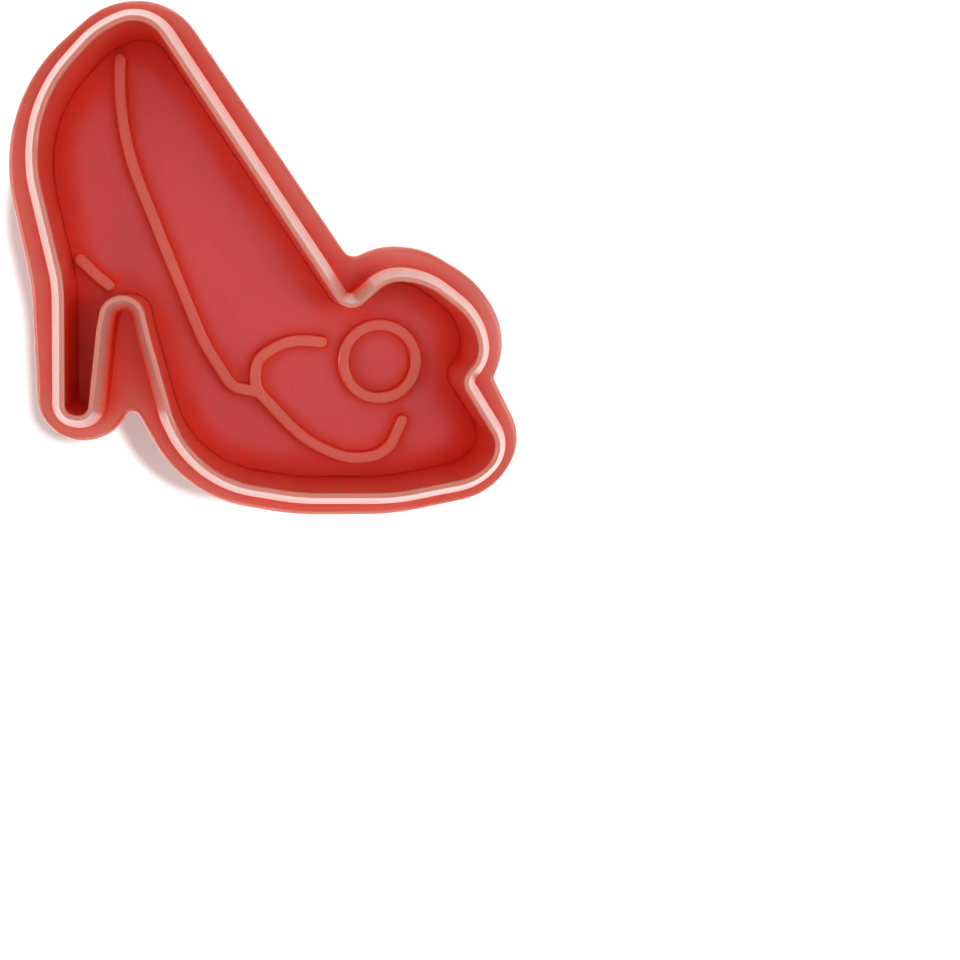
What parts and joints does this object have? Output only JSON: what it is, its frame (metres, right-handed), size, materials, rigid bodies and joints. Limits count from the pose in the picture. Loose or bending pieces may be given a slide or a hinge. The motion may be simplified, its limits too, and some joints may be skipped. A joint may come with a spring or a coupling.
{
  "type": "plunger cutter",
  "caption": "Sprung plastic plunger cutter that cuts a high-heeled shoe out of rolled dough and stamps raised lines into it.",
  "frame": {"origin": "under the middle of the flange's outline, on the plane that the push knob's rim stands on", "axes": "+Z along the plunger towards the cutting edge, +X towards the shoe's toe, +Y towards its ankle"},
  "size_m": [0.079, 0.0794, 0.0432],
  "materials": {
    "shell_plastic": "injection-moulded, polished outside",
    "plate_plastic": "injection-moulded, satin face",
    "knob_plastic": "injection-moulded, polished",
    "spring_steel": "drawn stainless wire",
    "screw_steel": "stainless",
    "plug_plastic": "injection-moulded"
  },
  "bodies": {
    "cutter": {"cutter_shell": "shell_plastic", "return_spring": "spring_steel"},
    "plunger": {"stamp_plate": "plate_plastic", "push_knob": "knob_plastic", "knob_screw": "screw_steel", "knob_plug": "plug_plastic"}
  },
  "joints": [
    {"name": "plunger_slide", "type": "slide", "parent": "cutter", "child": "plunger", "axis": [0, 0, 1], "range_m": [0, 0.0125], "stiffness_N_per_m": 280, "springref_m": -0.004, "deforming": ["return_spring"]}
  ]
}
